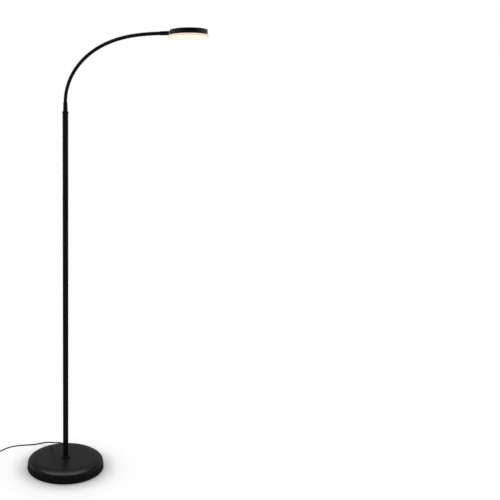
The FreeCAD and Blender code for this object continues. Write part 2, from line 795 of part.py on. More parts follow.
# ---------------------------------------------------------------- cord on the floor
FLOOR = cord
LAMP_SIDE = route([(-21.5, 21.5, 65.6), (-31, 33, 59.2), (-41, 50, 51.6), (-52, 72, 42.2),
                   (-62, 96, 31.2), (-71, 120, 19.8), (-79.5, 139, 10.3), (-88.5, 149.5, 4),
                   (-99, 149, FLOOR), (-111.5, 142, FLOOR), (-124, 138.5, FLOOR),
                   (-143, 135.5, FLOOR), (-164, 130.5, FLOOR), (-185, 122, FLOOR),
                   (-201, 108, FLOOR), (-213, 90, FLOOR), (-221, 77, 3.6)])
lift = float(S.cord_lift)
switch_centre = Vector(-243.0, 26.0, 0.0)
switch_heading = Vector(-0.3, -0.954, 0.0).normalize()
half_switch = switch_heading * (float(S.switch_length) / 2)
switch_in = switch_centre - half_switch + Vector(0, 0, lift)
switch_out = switch_centre + half_switch + Vector(0, 0, lift)
gland_straight = gland_face + gland_axis * 7.0
lamp_route = ([gland_face, gland_straight] + LAMP_SIDE + [switch_in - switch_heading * 12.0, switch_in])
shape_piece("cord_lamp_side", tube(rounded_path(lamp_route, "lamp side"), cord, "cord_lamp_side"))

# coil: spirals in and out again in four layers, climbing where it turns back
LAYERS = 4
LAYER_TURNS = 2.0
CLIMB_TURNS = 0.5                 # each climb takes the half turn where the spiral turns back
coil_centre = Vector(-246.0, -63.0, 0.0)
wind = 2 * cord + float(S.coil_gap)
middle_radius = float(S.coil_radius)
COIL_START = math.pi              # the cord arrives at the left of the coil


def coil_spot(turns):
    """Point of the coil's centre line after that many turns."""
    layer = turns / LAYER_TURNS
    whole = math.floor(layer)
    share = layer - whole
    inward = share if whole % 2 == 0 else 1.0 - share
    radius = middle_radius + wind * LAYER_TURNS * (0.5 - inward)
    height = FLOOR
    for step in range(1, LAYERS):
        climb = min(max((turns - step * LAYER_TURNS) / CLIMB_TURNS + 0.5, 0.0), 1.0)
        height += wind * climb ** 2 * (3 - 2 * climb)
    angle = COIL_START + 2 * math.pi * turns
    return coil_centre + Vector(radius * math.cos(angle), radius * math.sin(angle), height)


def coil_heading(turns):
    step = 1e-4
    heading_here = coil_spot(turns + step) - coil_spot(turns - step)
    return heading_here.normalize()


def arc_from(start, heading_start, end):
    """The arc that leaves start along a heading and reaches end."""
    chord = end - start
    along = chord * (1.0 / chord.Length)
    side = heading_start - along * heading_start.dot(along)
    bend = heading_start.getAngle(along)
    side.normalize()
    middle = start + chord * 0.5 + side * (0.5 * chord.Length * math.tan(bend / 2))
    return Part.Arc(start, middle, end).toShape()


def biarc(start, heading_start, end, heading_end):
    """Two arcs that meet smoothly between two points with given headings."""
    across = end - start
    both = heading_start + heading_end
    square = 2 * (1 - heading_start.dot(heading_end))
    drop = across.dot(both)
    reach_out = (-drop + math.sqrt(drop ** 2 + square * across.dot(across))) / square
    meet = (start + heading_start * reach_out + end - heading_end * reach_out) * 0.5
    first = arc_from(start, heading_start, meet)
    last_heading = first.tangentAt(first.LastParameter)
    return [first, arc_from(meet, last_heading, end)]


QUARTERS = round(LAYERS * LAYER_TURNS * 4)
knots = [number / 4 for number in range(QUARTERS + 1)]
coil_points = [coil_spot(turns) for turns in knots]
coil_headings = [coil_heading(min(max(turns, 1e-3), knots[-1] - 1e-3)) for turns in knots]
coil_headings[0] = Vector(0, -1, 0)
coil_headings[-1] = Vector(0, -1, 0)
COIL_LEAD = 4.0                   # straight run before and after the coil
coil_in = coil_points[0] - coil_headings[0] * COIL_LEAD
coil_out = coil_points[-1] + coil_headings[-1] * COIL_LEAD
coil_edges = [Part.LineSegment(coil_in, coil_points[0]).toShape()]
for i in range(QUARTERS):
    coil_edges += biarc(coil_points[i], coil_headings[i], coil_points[i + 1], coil_headings[i + 1])
coil_edges.append(Part.LineSegment(coil_points[-1], coil_out).toShape())
coil_path = Part.Wire(coil_edges)
shape_piece("cord_coil", tube(coil_path, cord, "cord_coil"))


def least_gap(path, apart):
    """Least clear distance of the tube to itself, between points a stretch apart."""
    step = 2.5
    spots = path.discretize(Distance=step)
    skip = int(apart / step)
    least = min((a - b).Length for i, a in enumerate(spots) for b in spots[i + skip:])
    return least - 2 * cord


print("coil's least gap to itself %.2f" % least_gap(coil_path, 60.0))

bridge_route = [switch_out, switch_out + switch_heading * 11.0] + route(
    [(-261.5, -25, 3.2), (-268, -38.5, FLOOR), (coil_in.x, coil_in.y + 9, FLOOR)]) + [coil_in]
shape_piece("cord_plug_side", tube(rounded_path(bridge_route, "plug side"), cord, "cord_plug_side"))

# ---------------------------------------------------------------- plug
plug_mid = S.plug_thickness / 2
plug_entry = Vector(-270.0, -116.0, float(plug_mid))
PLUG_TURN = -90.0                 # the pins point along -Y, the cord enters from +Y
plug_place = Placement(Vector(plug_entry.x, plug_entry.y, 0), Rotation(Vector(0, 0, 1), PLUG_TURN))
RELIEF = 20.0
plug_blank = padded_body("plug_blank",
                         [(RELIEF, -7.0), (RELIEF + 6.0, -S.plug_width / 2 + 3.0),
                          (RELIEF + 14.0, -S.plug_width / 2),
                          (RELIEF + S.plug_length, -S.plug_width / 2 + 2.4),
                          (RELIEF + S.plug_length, S.plug_width / 2 - 2.4),
                          (RELIEF + 14.0, S.plug_width / 2),
                          (RELIEF + 6.0, S.plug_width / 2 - 3.0), (RELIEF, 7.0)],
                         0, S.plug_thickness)
relief = doc.addObject("Part::Cone", "plug_relief")
relief.setExpression("Radius1", (S.cord_radius + 0.8).text)
relief.setExpression("Radius2", (S.cord_radius + 3.2).text)
relief.Height = RELIEF
relief.Placement = Placement(Vector(0, 0, float(plug_mid)), Rotation(Vector(0, 0, 1), Vector(1, 0, 0)))
relief.setExpression("Placement.Base.z", plug_mid.text)
finish(fuse("plug_body", plug_blank, relief), "plug_body", plug_place)
pins = [cylinder("plug_pin_%d" % number, S.pin_radius, S.pin_length,
                 (RELIEF + S.plug_length, S.pin_spacing * side / 2, plug_mid), Vector(1, 0, 0))
        for number, side in enumerate((-1.0, 1.0))]
finish(group("plug_pins", pins), "plug_pins", plug_place)

end_route = [coil_out, coil_out + Vector(0, -7, 0)] + route(
    [(-272.5, -84, 12.2), (-272, -94.5, 8.6), (-270, -105, float(plug_mid))]) + [plug_entry]
shape_piece("cord_end", tube(rounded_path(end_route, "plug end"), cord, "cord_end"))

# ---------------------------------------------------------------- in-line switch
switch_turn = math.degrees(math.atan2(switch_heading.y, switch_heading.x))
switch_place = Placement(switch_centre, Rotation(Vector(0, 0, 1), switch_turn))
CORNER = 5.0


def switch_outline(inset):
    """Rounded-off plan of the switch, drawn in by an inset."""
    long, wide = S.switch_length / 2 - inset, S.switch_width / 2 - inset
    return [(-long, -wide + CORNER), (-long + CORNER, -wide), (long - CORNER, -wide),
            (long, -wide + CORNER), (long, wide - CORNER), (long - CORNER, wide),
            (-long + CORNER, wide), (-long, wide - CORNER)]


lower_outer = padded_body("switch_lower_outer", switch_outline(0), 0, S.switch_split)
lower_inner = padded_body("switch_lower_inner", switch_outline(S.switch_wall), S.switch_wall,
                          S.switch_split)
SCREW_X = 22.0
screw_bores = [cylinder("switch_bore_%d" % number, 1.5 + S.static_gap, S.switch_wall * 2,
                        (side * SCREW_X, 0, -0.1)) for number, side in enumerate((-1.0, 1.0))]
core_hole = S.cord_radius - 0.6
cord_way = cylinder("switch_cord_way", core_hole, S.switch_length + 4.0,
                    (-S.switch_length / 2 - 2.0, 0, S.cord_lift), Vector(1, 0, 0))
finish(cut("switch_base", lower_outer, lower_inner, cord_way, *screw_bores), "switch_base",
       switch_place)

upper_outer = padded_body("switch_upper_outer", switch_outline(0), S.switch_split,
                          S.switch_height - S.switch_split)
upper_inner = padded_body("switch_upper_inner", switch_outline(S.switch_wall),
                          S.switch_split - 0.5, S.switch_height - S.switch_split
                          - S.switch_wall + 0.5)
window = block("switch_window", (S.rocker_length + 1.6, S.rocker_width + 1.2, 6.0), Size.of(0),
               Size.of(0), S.switch_height - 4.0)
cord_way_top = cylinder("switch_cord_way_top", core_hole, S.switch_length + 4.0,
                        (-S.switch_length / 2 - 2.0, 0, S.cord_lift), Vector(1, 0, 0))
posts = [cylinder("switch_post_%d" % number, 3.0, S.switch_height - S.switch_split - S.switch_wall,
                  (side * SCREW_X, 0, S.switch_split)) for number, side in enumerate((-1.0, 1.0))]
post_bores = [cylinder("switch_post_bore_%d" % number, 1.5 + S.static_gap, 4.5,
                       (side * SCREW_X, 0, S.switch_split - 0.1))
              for number, side in enumerate((-1.0, 1.0))]
pin_height = S.switch_height - 4.2
CHEEK = 2.0
cheeks = [block("switch_cheek_%d" % number, (8.0, CHEEK, 6.0), Size.of(0),
                (S.rocker_width / 2 + 0.6 + CHEEK / 2) * side, pin_height - 3.0)
          for number, side in enumerate((-1.0, 1.0))]
pin_bore = cylinder("switch_pin_bore", S.rocker_pin + S.static_gap, S.rocker_width + 10.0,
                    (0, S.rocker_width / 2 + 5.0, pin_height), Vector(0, -1, 0))
upper_shell = cut("switch_upper_shell", upper_outer, upper_inner)
upper_joined = fuse("switch_upper", upper_shell, *posts, *cheeks)
finish(cut("switch_top", upper_joined, window, cord_way_top, pin_bore, *post_bores), "switch_top",
       switch_place)

pivot_length = S.rocker_width + 1.2 + CHEEK * 2
rocker_rod = cylinder("rocker_pin_rod", S.rocker_pin, pivot_length,
                      (0, pivot_length / 2, pin_height), Vector(0, -1, 0))
finish(group("rocker_pin", [rocker_rod]), "rocker_pin", switch_place)

rocker_half = S.rocker_length / 2
rocker_blank = doc.addObject("PartDesign::Body", "rocker_blank")
rocker_sketch = body_sketch(rocker_blank, "rocker_side", "XZ_Plane")
draw_outline(rocker_sketch, [(-rocker_half, S.switch_height - 2.2), (-rocker_half, S.switch_height + 1.4),
                             (0, S.switch_height + 0.2), (rocker_half, S.switch_height + 1.4),
                             (rocker_half, S.switch_height - 2.2), (3.0, pin_height - 3.0),
                             (-3.0, pin_height - 3.0)])
rocker_pad = rocker_blank.newObject("PartDesign::Pad", "rocker_pad")
rocker_pad.Profile = rocker_sketch
rocker_pad.setExpression("Length", S.rocker_width.text)
rocker_pad.Midplane = True
rocker_blank.Tip = rocker_pad
rocker_bore = cylinder("rocker_bore", S.rocker_pin + S.running_gap, S.rocker_width + 4.0,
                       (0, S.rocker_width / 2 + 2.0, pin_height), Vector(0, -1, 0))
finish(cut("rocker", rocker_blank, rocker_bore), "rocker", switch_place)

blades = [block("contact_blade_%d" % number, (9.0, 4.0, 0.6), Size.of(side * 6.5), Size.of(side * 3.0),
                S.switch_wall) for number, side in enumerate((-1.0, 1.0))]
finish(group("switch_contacts", blades), "switch_contacts", switch_place)

switch_screws = []
for number, side in enumerate((-1.0, 1.0)):
    thread = cylinder("switch_screw_thread_%d" % number, 1.5, S.switch_split + 3.0 - 0.4,
                      (side * SCREW_X, 0, 0.4))
    switch_screws.append(thread)
finish(group("switch_screws", switch_screws), "switch_screws", switch_place)

# ---------------------------------------------------------------- check and write
doc.recompute()
for obj in doc.Objects:
    if "Invalid" in obj.State or "Error" in obj.State:
        raise RuntimeError("%s is %s" % (obj.Name, obj.State))
os.makedirs("parts", exist_ok=True)
for piece in pieces:
    shape = piece.Shape
    if shape.isNull() or not shape.isValid() or not shape.Solids:
        raise RuntimeError("%s has no valid solid" % piece.Label)
for piece in pieces:
    piece.Shape.exportStep("parts/%s.step" % piece.Label)
    box = piece.Shape.BoundBox
    print("%-16s %2d solids %10.1f mm3  x %.1f..%.1f  y %.1f..%.1f  z %.1f..%.1f"
          % (piece.Label, len(piece.Shape.Solids), piece.Shape.Volume, box.XMin, box.XMax,
             box.YMin, box.YMax, box.ZMin, box.ZMax))
print(len(pieces), "nodes")
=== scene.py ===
# %% [markdown]
# # A gooseneck reading lamp
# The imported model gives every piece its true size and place.  This lesson dresses it: black
# powder coat, a wound hose for the neck, a glowing plate for the head and a cord on the floor.
# Everything is in metres, in the model's own frame: +Z up, +X towards the head.

# %% Load the frame
import json
import math

import bmesh
import bpy
import numpy as np
from mathutils import Matrix, Vector


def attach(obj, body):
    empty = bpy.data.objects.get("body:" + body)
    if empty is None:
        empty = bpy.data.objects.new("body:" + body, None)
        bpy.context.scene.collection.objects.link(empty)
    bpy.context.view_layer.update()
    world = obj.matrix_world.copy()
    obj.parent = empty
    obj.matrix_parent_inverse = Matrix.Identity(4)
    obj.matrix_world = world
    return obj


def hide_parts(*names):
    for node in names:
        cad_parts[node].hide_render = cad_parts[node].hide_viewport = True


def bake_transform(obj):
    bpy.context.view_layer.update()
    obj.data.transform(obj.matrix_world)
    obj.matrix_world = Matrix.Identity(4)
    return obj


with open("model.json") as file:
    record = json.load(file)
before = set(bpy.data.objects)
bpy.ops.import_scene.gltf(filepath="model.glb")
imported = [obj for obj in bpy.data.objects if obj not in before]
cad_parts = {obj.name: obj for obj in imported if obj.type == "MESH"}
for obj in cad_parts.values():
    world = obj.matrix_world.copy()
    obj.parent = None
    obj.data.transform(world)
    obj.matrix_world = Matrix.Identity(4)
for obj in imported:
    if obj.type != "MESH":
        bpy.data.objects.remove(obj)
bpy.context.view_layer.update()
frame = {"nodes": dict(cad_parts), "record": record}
MM = 0.001

# %% [markdown]
# ## The camera
# A camera was fitted to the base, the pole and the neck.  It stands a little to the right of
# the lamp, at about chest height, looks slightly down, and is shifted so that the lamp sits at
# the left of the picture.

# %% Camera
PICTURE = 500                     # pixels along each side of the picture
FOCAL_PIXELS = 636.93
CENTRE_X, CENTRE_Y = 124.9, 288.96
CAMERA_AT = Vector((0.17016, -1.7905, 0.90689))
LOOK_DOWN = math.radians(11.253)
ROLL = math.radians(1.0085)

camera_data = bpy.data.cameras.new("camera")
camera = bpy.data.objects.new("camera", camera_data)
bpy.context.scene.collection.objects.link(camera)
camera.matrix_world = (Matrix.Translation(CAMERA_AT) @ Matrix.Rotation(math.pi / 2 - LOOK_DOWN, 4, "X")
                       @ Matrix.Rotation(ROLL, 4, "Z"))
camera_data.sensor_width = 36.0
camera_data.lens = FOCAL_PIXELS / PICTURE * camera_data.sensor_width
camera_data.shift_x = (PICTURE / 2 - CENTRE_X) / PICTURE
camera_data.shift_y = (CENTRE_Y - PICTURE / 2) / PICTURE
camera_data.clip_end = 60.0
bpy.context.scene.camera = camera
print("lens %.2f mm, shift %.3f %.3f" % (camera_data.lens, camera_data.shift_x, camera_data.shift_y))

# %% [markdown]
# ## Shader maths as Python
# A socket is wrapped so that the usual operators add Math nodes.  Every other node comes from
# one method, which takes the node's type, its settings and its inputs.


# %% Sockets with operators
class Wire:
    """A node's output, with arithmetic that adds Math nodes."""

    def __init__(self, paint, socket):
        self.paint = paint
        self.socket = socket

    def math(self, operation, *others):
        return self.paint.node("ShaderNodeMath", {"operation": operation},
                               dict(enumerate((self,) + others)))

    def __add__(self, other):
        return self.math("ADD", other)

    def __sub__(self, other):
        return self.math("SUBTRACT", other)

    def __mul__(self, other):
        return self.math("MULTIPLY", other)

    def __rsub__(self, other):
        return self.paint.node("ShaderNodeMath", {"operation": "SUBTRACT"}, {0: other, 1: self})

    __radd__ = __add__
    __rmul__ = __mul__

    def step(self, low, high):
        """Smooth 0 to 1 as the value goes from low to high."""
        return self.paint.node("ShaderNodeMapRange", {"interpolation_type": "SMOOTHSTEP"},
                               {"Value": self, "From Min": low, "From Max": high})


class Paint:
    """A material being put together."""

    def __init__(self, name):
        self.material = bpy.data.materials.new(name)
        self.material.use_nodes = True
        self.tree = self.material.node_tree
        self.shader = self.tree.nodes["Principled BSDF"]

    def node(self, kind, settings=None, links=None, out=0):
        """A new node with its settings, its inputs (values or wires) and the output asked for."""
        made = self.tree.nodes.new(kind)
        for name, value in (settings or {}).items():
            setattr(made, name, value)
        for name, value in (links or {}).items():
            if isinstance(value, Wire):
                self.tree.links.new(value.socket, made.inputs[name])
            else:
                made.inputs[name].default_value = value
        return Wire(self, made.outputs[out])

    def set(self, **values):
        """Values or wires for the shader's own sockets, with _ for a blank."""
        for name, value in values.items():
            socket = self.shader.inputs[name.replace("_", " ")]
            if isinstance(value, Wire):
                self.tree.links.new(value.socket, socket)
            else:
                socket.default_value = value
        return self.material

    def place(self, kind="Object"):
        """Coordinates of the piece itself, or of its own map."""
        outputs = {"Object": 3, "UV": 2}
        return self.node("ShaderNodeTexCoord", out=outputs[kind])

    def noise(self, scale, detail=2.0, where=None):
        return self.node("ShaderNodeTexNoise", {},
                         {"Vector": where or self.place(), "Scale": scale, "Detail": detail})

    def mix(self, share, first, second):
        """A colour between two colours.  The colour sockets of the Mix node are 6 and 7, and 2 comes out."""
        mixed = self.tree.nodes.new("ShaderNodeMix")
        mixed.data_type = "RGBA"
        for index, value in ((0, share), (6, first), (7, second)):
            if isinstance(value, Wire):
                self.tree.links.new(value.socket, mixed.inputs[index])
            elif index:
                mixed.inputs[index].default_value = (*value, 1.0)
            else:
                mixed.inputs[index].default_value = value
        return Wire(self, mixed.outputs[2])

    def bump(self, height, depth):
        return self.node("ShaderNodeBump", {}, {"Height": height, "Distance": depth, "Strength": 1.0})


# %% [markdown]
# ## Finishes
# Powder coat is a fine orange-peel skin over steel: a slow drift in sheen and a small bump.
# Cord sheath and moulded plastic have a finer grain and a softer gloss.


# %% Painted, moulded and metal finishes
def coat(name, dark, light, rough, grain, depth, specular=0.5, metal=0.0):
    """Colour and sheen drift slowly over the piece; a fine noise (grain per metre) dents the skin
    by a depth in metres."""
    paint = Paint(name)
    drift = paint.noise(35.0, 3.0)
    colour = paint.mix(drift.step(0.35, 0.65), dark, light)
    sheen = (rough - 0.03) + drift * 0.06
    skin = paint.noise(grain, 2.0)
    paint.set(Base_Color=colour, Roughness=sheen, Normal=paint.bump(skin, depth), Metallic=metal)
    paint.set(Specular_IOR_Level=specular)
    return paint.material


DEEP_BLACK = (0.0022, 0.0022, 0.0018)
black_coat = coat("black_powder_coat", DEEP_BLACK, (0.0032, 0.0032, 0.0027), 0.35, 2600.0, 2e-5)
hose_black = coat("neck_black", DEEP_BLACK, (0.0034, 0.0034, 0.003), 0.33, 4000.0, 1e-5)
sheath = coat("cord_sheath", (0.012, 0.012, 0.012), (0.017, 0.017, 0.016), 0.46, 3500.0, 1e-5)
moulded = coat("moulded_black", (0.013, 0.013, 0.013), (0.018, 0.018, 0.017), 0.5, 5000.0, 3e-5)
foam = coat("foam", (0.03, 0.03, 0.03), (0.05, 0.05, 0.05), 0.9, 900.0, 2e-4, 0.2)
iron = coat("cast_iron", (0.07, 0.07, 0.07), (0.12, 0.115, 0.11), 0.7, 600.0, 3e-4, 0.4, 0.6)
zinc = coat("zinc_plate", (0.5, 0.51, 0.52), (0.62, 0.62, 0.6), 0.32, 1500.0, 1e-5, 0.5, 1.0)
nickel = coat("nickel_plate", (0.6, 0.58, 0.53), (0.7, 0.68, 0.63), 0.2, 1500.0, 3e-6, 0.5, 1.0)
brass = coat("brass", (0.7, 0.5, 0.2), (0.8, 0.6, 0.3), 0.3, 1500.0, 5e-6, 0.5, 1.0)
aluminium = coat("rolled_aluminium", (0.7, 0.71, 0.72), (0.8, 0.8, 0.8), 0.35, 1200.0, 5e-6, 0.5, 1.0)
nylon = coat("nylon", (0.7, 0.68, 0.6), (0.78, 0.76, 0.7), 0.5, 1500.0, 1e-5)
white_plastic = coat("white_plastic", (0.82, 0.82, 0.79), (0.88, 0.88, 0.86), 0.45, 1500.0, 1e-5)
mask_green = coat("solder_mask", (0.02, 0.16, 0.05), (0.03, 0.22, 0.08), 0.3, 2500.0, 1e-5)
phosphor = coat("phosphor", (0.85, 0.6, 0.08), (0.95, 0.72, 0.15), 0.3, 4000.0, 1e-5)

SLOT_FINISH = {"black_paint": black_coat, "neck_black": hose_black, "foam": foam, "cast_iron": iron,
               "zinc_steel": zinc, "nylon": nylon, "cord_black": sheath, "switch_black": moulded,
               "pin_metal": nickel, "brass": brass, "lead_sleeve": sheath,
               "spreader_aluminium": aluminium, "board_white": white_plastic,
               "chip_yellow": phosphor, "tray_white": white_plastic,
               "diffuser_frosted": white_plastic, "lens_clear": white_plastic,
               "board_green": mask_green, "driver_black": moulded}


def dress(obj, finish):
    obj.data.materials.clear()
    obj.data.materials.append(finish)


for part in frame["record"]["subparts"]:
    painted = part["node"].startswith("coupler")      # the seam ring is sprayed with the pole
    dress(frame["nodes"][part["node"]], black_coat if painted else SLOT_FINISH[part["material_slot"]])
print("finishes:", len(bpy.data.materials))

# %% [markdown]
# ## Turned pieces
# Most of the lamp is turned on a lathe or drawn to round shapes.  A piece is a profile of
# (radius, height) corners, each corner rounded by its own small radius, carried round an axis.


# %% Profiles and grids
def rounded(corners, steps=6):
    """A closed outline whose corners (x, y, radius) are each swapped for an arc of that radius."""
    corners = [(*corner, 0.0) if len(corner) == 2 else corner for corner in corners]
    line = []
    for i, (x, y, radius) in enumerate(corners):
        here = np.array((x, y))
        before = np.array(corners[i - 1][:2]) - here
        after = np.array(corners[(i + 1) % len(corners)][:2]) - here
        if radius <= 0:
            line.append(here)
            continue
        before_length, after_length = np.linalg.norm(before), np.linalg.norm(after)
        before, after = before / before_length, after / after_length
        half = math.acos(float(np.clip(before @ after, -1, 1))) / 2
        reach = min(radius / math.tan(half), before_length * 0.49, after_length * 0.49)
        radius = reach * math.tan(half)
        middle = here + (before + after) / np.linalg.norm(before + after) * radius / math.sin(half)
        start, end = here + before * reach - middle, here + after * reach - middle
        turn = math.atan2(start[0] * end[1] - start[1] * end[0], start @ end)
        angles = np.linspace(0, turn, steps + 1)
        cosine, sine = np.cos(angles), np.sin(angles)
        line += list(middle + np.stack([start[0] * cosine - start[1] * sine,
                                        start[0] * sine + start[1] * cosine], 1))
    return np.array(line)


def grid_piece(name, points, wrap_rows, caps, finish, uv=None):
    """A mesh from an array of rings (rows, around, xyz), always closed around each ring."""
    rows, around = points.shape[:2]
    row = np.arange(rows if wrap_rows else rows - 1)[:, None]
    column = np.arange(around)[None, :]
    next_row, next_column = (row + 1) % rows, (column + 1) % around
    faces = np.stack([row * around + column, row * around + next_column,
                      next_row * around + next_column, next_row * around + column], -1).reshape(-1, 4)
    faces = faces.tolist()
    if caps:
        faces.append(list(range(around))[::-1])
        faces.append(list(range((rows - 1) * around, rows * around)))
    mesh = bpy.data.meshes.new(name)
    mesh.from_pydata(points.reshape(-1, 3).tolist(), [], faces)
    if uv is not None:
        layer = mesh.uv_layers.new(name="UVMap")
        corner = np.zeros(len(mesh.loops), np.int32)
        mesh.loops.foreach_get("vertex_index", corner)
        layer.data.foreach_set("uv", uv.reshape(-1, 2)[corner].astype(np.float32).ravel())
    work = bmesh.new()
    work.from_mesh(mesh)
    bmesh.ops.remove_doubles(work, verts=work.verts, dist=1e-7)
    bmesh.ops.dissolve_degenerate(work, edges=work.edges, dist=1e-8)
    work.to_mesh(mesh)
    work.free()
    mesh.shade_smooth()
    mesh.set_sharp_from_angle(angle=math.radians(35))
    obj = bpy.data.objects.new(name, mesh)
    bpy.context.scene.collection.objects.link(obj)
    dress(obj, finish)
    return obj


def turned(name, corners, finish, place=None, around=96, steps=6):
    """Point of the surface = (radius cos angle, radius sin angle, height), then put in its place."""
    line = rounded(corners, steps) * MM
    angle = np.linspace(0, 2 * np.pi, around, endpoint=False)
    points = np.stack([line[:, :1] * np.cos(angle), line[:, :1] * np.sin(angle),
                       np.repeat(line[:, 1:], around, 1)], -1)
    uv = points[..., :2] / (2 * line[:, 0].max()) + 0.5
    if place is not None:
        points = points @ np.array(place.to_3x3()).T + np.array(place.translation)
    return grid_piece(name, points, True, False, finish, uv)


# %% [markdown]
# ## The base
# A drawn steel shell sits over the weight.  Its profile is one closed outline: the side leans
# in a little, the shoulder turns over in a quarter of an ellipse, wide and low, and the top is
# flat from there to the collar.

# %% Base shell and collar
BASE_RADIUS, BASE_TOP, TAPER, SHEET, RIM = 115.0, 30.3, 2.0, 1.2, 0.8
SHOULDER_WIDTH, SHOULDER_DROP = 33.0, 12.0
STUD_HOLE = 5.05
POLE, BORE, SEAM = 8.0, 7.1, 0.4
POLE_FIT = 8.05                   # the pole with its clearance


def shoulder(inset, steps=20):
    """x = R - w (1 - cos t), z = H - d (1 - sin t), drawn in by an inset all round."""
    t = np.radians(np.linspace(0, 90, steps + 1))
    x = BASE_RADIUS - TAPER - inset - (SHOULDER_WIDTH - inset) * (1 - np.cos(t))
    z = BASE_TOP - inset - (SHOULDER_DROP - inset) * (1 - np.sin(t))
    return [(float(a), float(b)) for a, b in zip(x, z)]


shell = turned("base_shell",
               [(STUD_HOLE, BASE_TOP - SHEET)] + shoulder(SHEET)[::-1]
               + [(BASE_RADIUS - SHEET, RIM), (BASE_RADIUS, RIM, 0.4)] + shoulder(0.0)
               + [(STUD_HOLE, BASE_TOP)], black_coat, around=192)
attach(shell, "stand")
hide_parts("base_cover")

COLLAR, COLLAR_RIM, COLLAR_BEVEL = 14.0, 12.9, 2.2
COLLAR_TOP, POLE_FOOT = BASE_TOP + 4.8, BASE_TOP + 2.5
collar = turned("foot_ring",
                [(STUD_HOLE, BASE_TOP), (COLLAR, BASE_TOP, 0.2), (COLLAR, COLLAR_TOP - COLLAR_BEVEL, 0.9),
                 (COLLAR_RIM, COLLAR_TOP, 0.5), (POLE_FIT, COLLAR_TOP, 0.2), (POLE_FIT, POLE_FOOT),
                 (STUD_HOLE, POLE_FOOT)], black_coat)
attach(collar, "stand")
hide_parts("foot_collar")

# %% [markdown]
# ## The pole
# Three equal-looking tubes screw together.  Each end has a small rolled edge, so that a fine
# line shows where two tubes meet.

# %% Tubes, cap and lower ferrule
SECTION, POLE_TOP = 354.2, 1038.0
SEAMS = (POLE_FOOT, POLE_FOOT + SECTION, POLE_FOOT + 2 * SECTION, POLE_TOP)
for name, node, low, high in (("tube_lower", "pole_lower", SEAMS[0], SEAMS[1] - SEAM),
                              ("tube_middle", "pole_middle", SEAMS[1] + SEAM, SEAMS[2] - SEAM),
                              ("tube_upper", "pole_upper", SEAMS[2] + SEAM, SEAMS[3])):
    tube = turned(name, [(POLE, low, 0.3), (POLE, high, 0.3), (BORE, high), (BORE, low)],
                  black_coat, around=64)
    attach(tube, "stand")
    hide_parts(node)

CAP, CAP_HOLE = 8.85, 4.65
CAP_TOP, CAP_FOOT = POLE_TOP + 1.2, POLE_TOP - 3.4
cap = turned("top_cap",
             [(POLE_FIT, CAP_FOOT), (CAP, CAP_FOOT, 0.25), (CAP, CAP_TOP, 0.6), (CAP_HOLE, CAP_TOP),
              (CAP_HOLE, POLE_TOP), (POLE_FIT, POLE_TOP)], black_coat, around=64)
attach(cap, "stand")
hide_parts("pole_cap")

LEAD_HOLE, SHANK, HOSE_FIT, HOSE_TAIL = 2.5, 4.6, 4.95, 15.0
SOCKET_TOP, SHANK_FOOT = CAP_TOP + 25.0, POLE_TOP - 20.0
ferrule = turned("lower_ferrule",
                 [(LEAD_HOLE, SHANK_FOOT), (SHANK, SHANK_FOOT, 0.4), (SHANK, CAP_TOP), (6.3, CAP_TOP, 0.3),
                  (5.7, SOCKET_TOP, 0.7), (HOSE_FIT, SOCKET_TOP), (HOSE_FIT, SOCKET_TOP - HOSE_TAIL),
                  (LEAD_HOLE, SOCKET_TOP - HOSE_TAIL)], black_coat, around=64)
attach(ferrule, "stand")
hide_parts("neck_socket")

# %% [markdown]
# ## The neck's centre line
# The hose starts straight up and eases over to the head.  Its heading above the horizontal
# falls as a power of what is left of its length, and the line is the running sum of headings.

# %% Centre line
NECK_LENGTH, NECK_CURL, TILT = 344.0, 1.64, 3.0
SPARE = 30.0                      # straight run past each end, in the ferrules
LINE_POINTS = 8081
line_along = np.linspace(-SPARE, NECK_LENGTH + SPARE, LINE_POINTS)
line_left = 1 - np.clip(line_along / NECK_LENGTH, 0, 1)
line_heading = np.radians(TILT + (90 - TILT) * line_left ** NECK_CURL)
line_middle = (line_heading[1:] + line_heading[:-1]) / 2
line_x = np.concatenate([[0], np.cumsum(np.cos(line_middle) * np.diff(line_along))])
line_z = np.concatenate([[0], np.cumsum(np.sin(line_middle) * np.diff(line_along))])
line_x -= np.interp(0, line_along, line_x)
line_z += SOCKET_TOP - np.interp(0, line_along, line_z)


def neck_frame(along):
    """Centre, sideways and upward directions of the hose at distances along it."""
    angle = np.interp(along, line_along, line_heading)
    x, z = np.interp(along, line_along, line_x), np.interp(along, line_along, line_z)
    centre = np.stack([x, 0 * along, z], -1)
    side = np.stack([0 * along, 1 + 0 * along, 0 * along], -1)
    up = np.stack([-np.sin(angle), 0 * along, np.cos(angle)], -1)
    return centre * MM, side, up


neck_end, _, _ = neck_frame(np.array([NECK_LENGTH]))
print("neck ends at", np.round(neck_end[0], 4))

# %% [markdown]
# ## The hose
# A gooseneck is a round spring with a shaped wire wound into its grooves, so its skin is one
# long screw thread.  Radius = groove + ridge x (how far the turn is into its ridge).  The model
# bends up and down at the odd joints and sideways at the even ones.  The skin is cut at the odd
# joints, where a ball inside both ends keeps it shut, and turns smoothly over the even ones.

# %% Wound hose
LINKS, RIBS = 12, 10              # lengths with a joint in the middle, and ridges in each
LINK = NECK_LENGTH / LINKS
PITCH = LINK / RIBS
CREST, GROOVE, BALL = 4.9, 4.3, 4.25
AROUND, PER_TURN = 40, 12         # points round the hose, and rings in each pitch
IN_FERRULE = 12.0                 # how far the hose goes into each ferrule


def circles(along, count):
    """Centres, and unit vectors from them to count points round each, at distances along the neck."""
    angle = np.linspace(0, 2 * np.pi, count, endpoint=False)
    centre, side, up = neck_frame(along)
    spokes = np.cos(angle)[None, :, None] * side[:, None] + np.sin(angle)[None, :, None] * up[:, None]
    return centre[:, None], spokes


